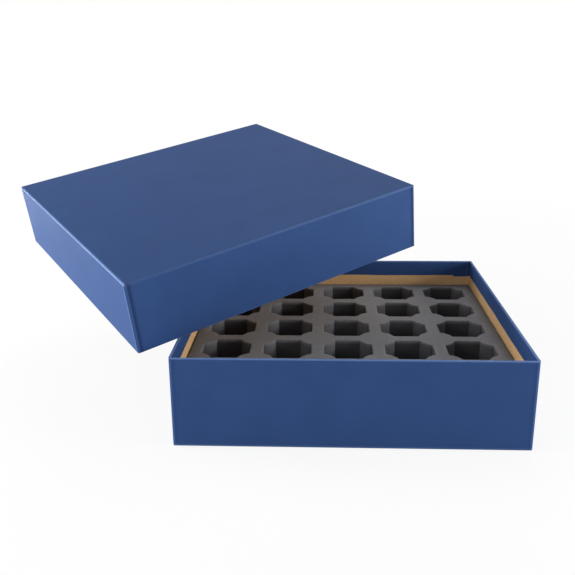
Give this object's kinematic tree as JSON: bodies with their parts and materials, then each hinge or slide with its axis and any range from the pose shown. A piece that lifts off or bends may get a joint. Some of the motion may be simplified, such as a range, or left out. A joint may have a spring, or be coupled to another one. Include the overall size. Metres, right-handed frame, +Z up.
{
  "type": "coin tube storage box",
  "caption": "Square rigid box with a lift-off lid, wrapped in blue paper, and a grey foam insert with round-posted pockets that hold coin tubes upright.",
  "frame": {"origin": "centre of the underside of the base, on the surface that it stands on", "axes": "+Z up out of the open base, +X to the right and +Y to the back of the base; the taken-off lid lies to the left and back"},
  "size_m": [0.5081, 0.4374, 0.2271],
  "materials": {
    "board": "bare kraft-faced board, matt",
    "wrap_paper": "dyed uncoated wrapping paper, matt with a slight sheen at the folds",
    "foam": "closed-cell grey foam, fine-pored and matt",
    "stay_tape": "gummed kraft tape"
  },
  "bodies": {
    "base": {"base_board": "board", "base_wrap": "wrap_paper", "foam_insert": "foam", "base_stay_front_left": "stay_tape", "base_stay_front_right": "stay_tape", "base_stay_back_left": "stay_tape", "base_stay_back_right": "stay_tape"},
    "lid": {"lid_board": "board", "lid_wrap": "wrap_paper", "lid_stay_front_left": "stay_tape", "lid_stay_front_right": "stay_tape", "lid_stay_back_left": "stay_tape", "lid_stay_back_right": "stay_tape"}
  },
  "joints": [
    {"name": "lid_lift", "type": "slide", "parent": "base", "child": "lid", "axis": [0, 0, 1], "range_m": [0, 0.12]}
  ]
}
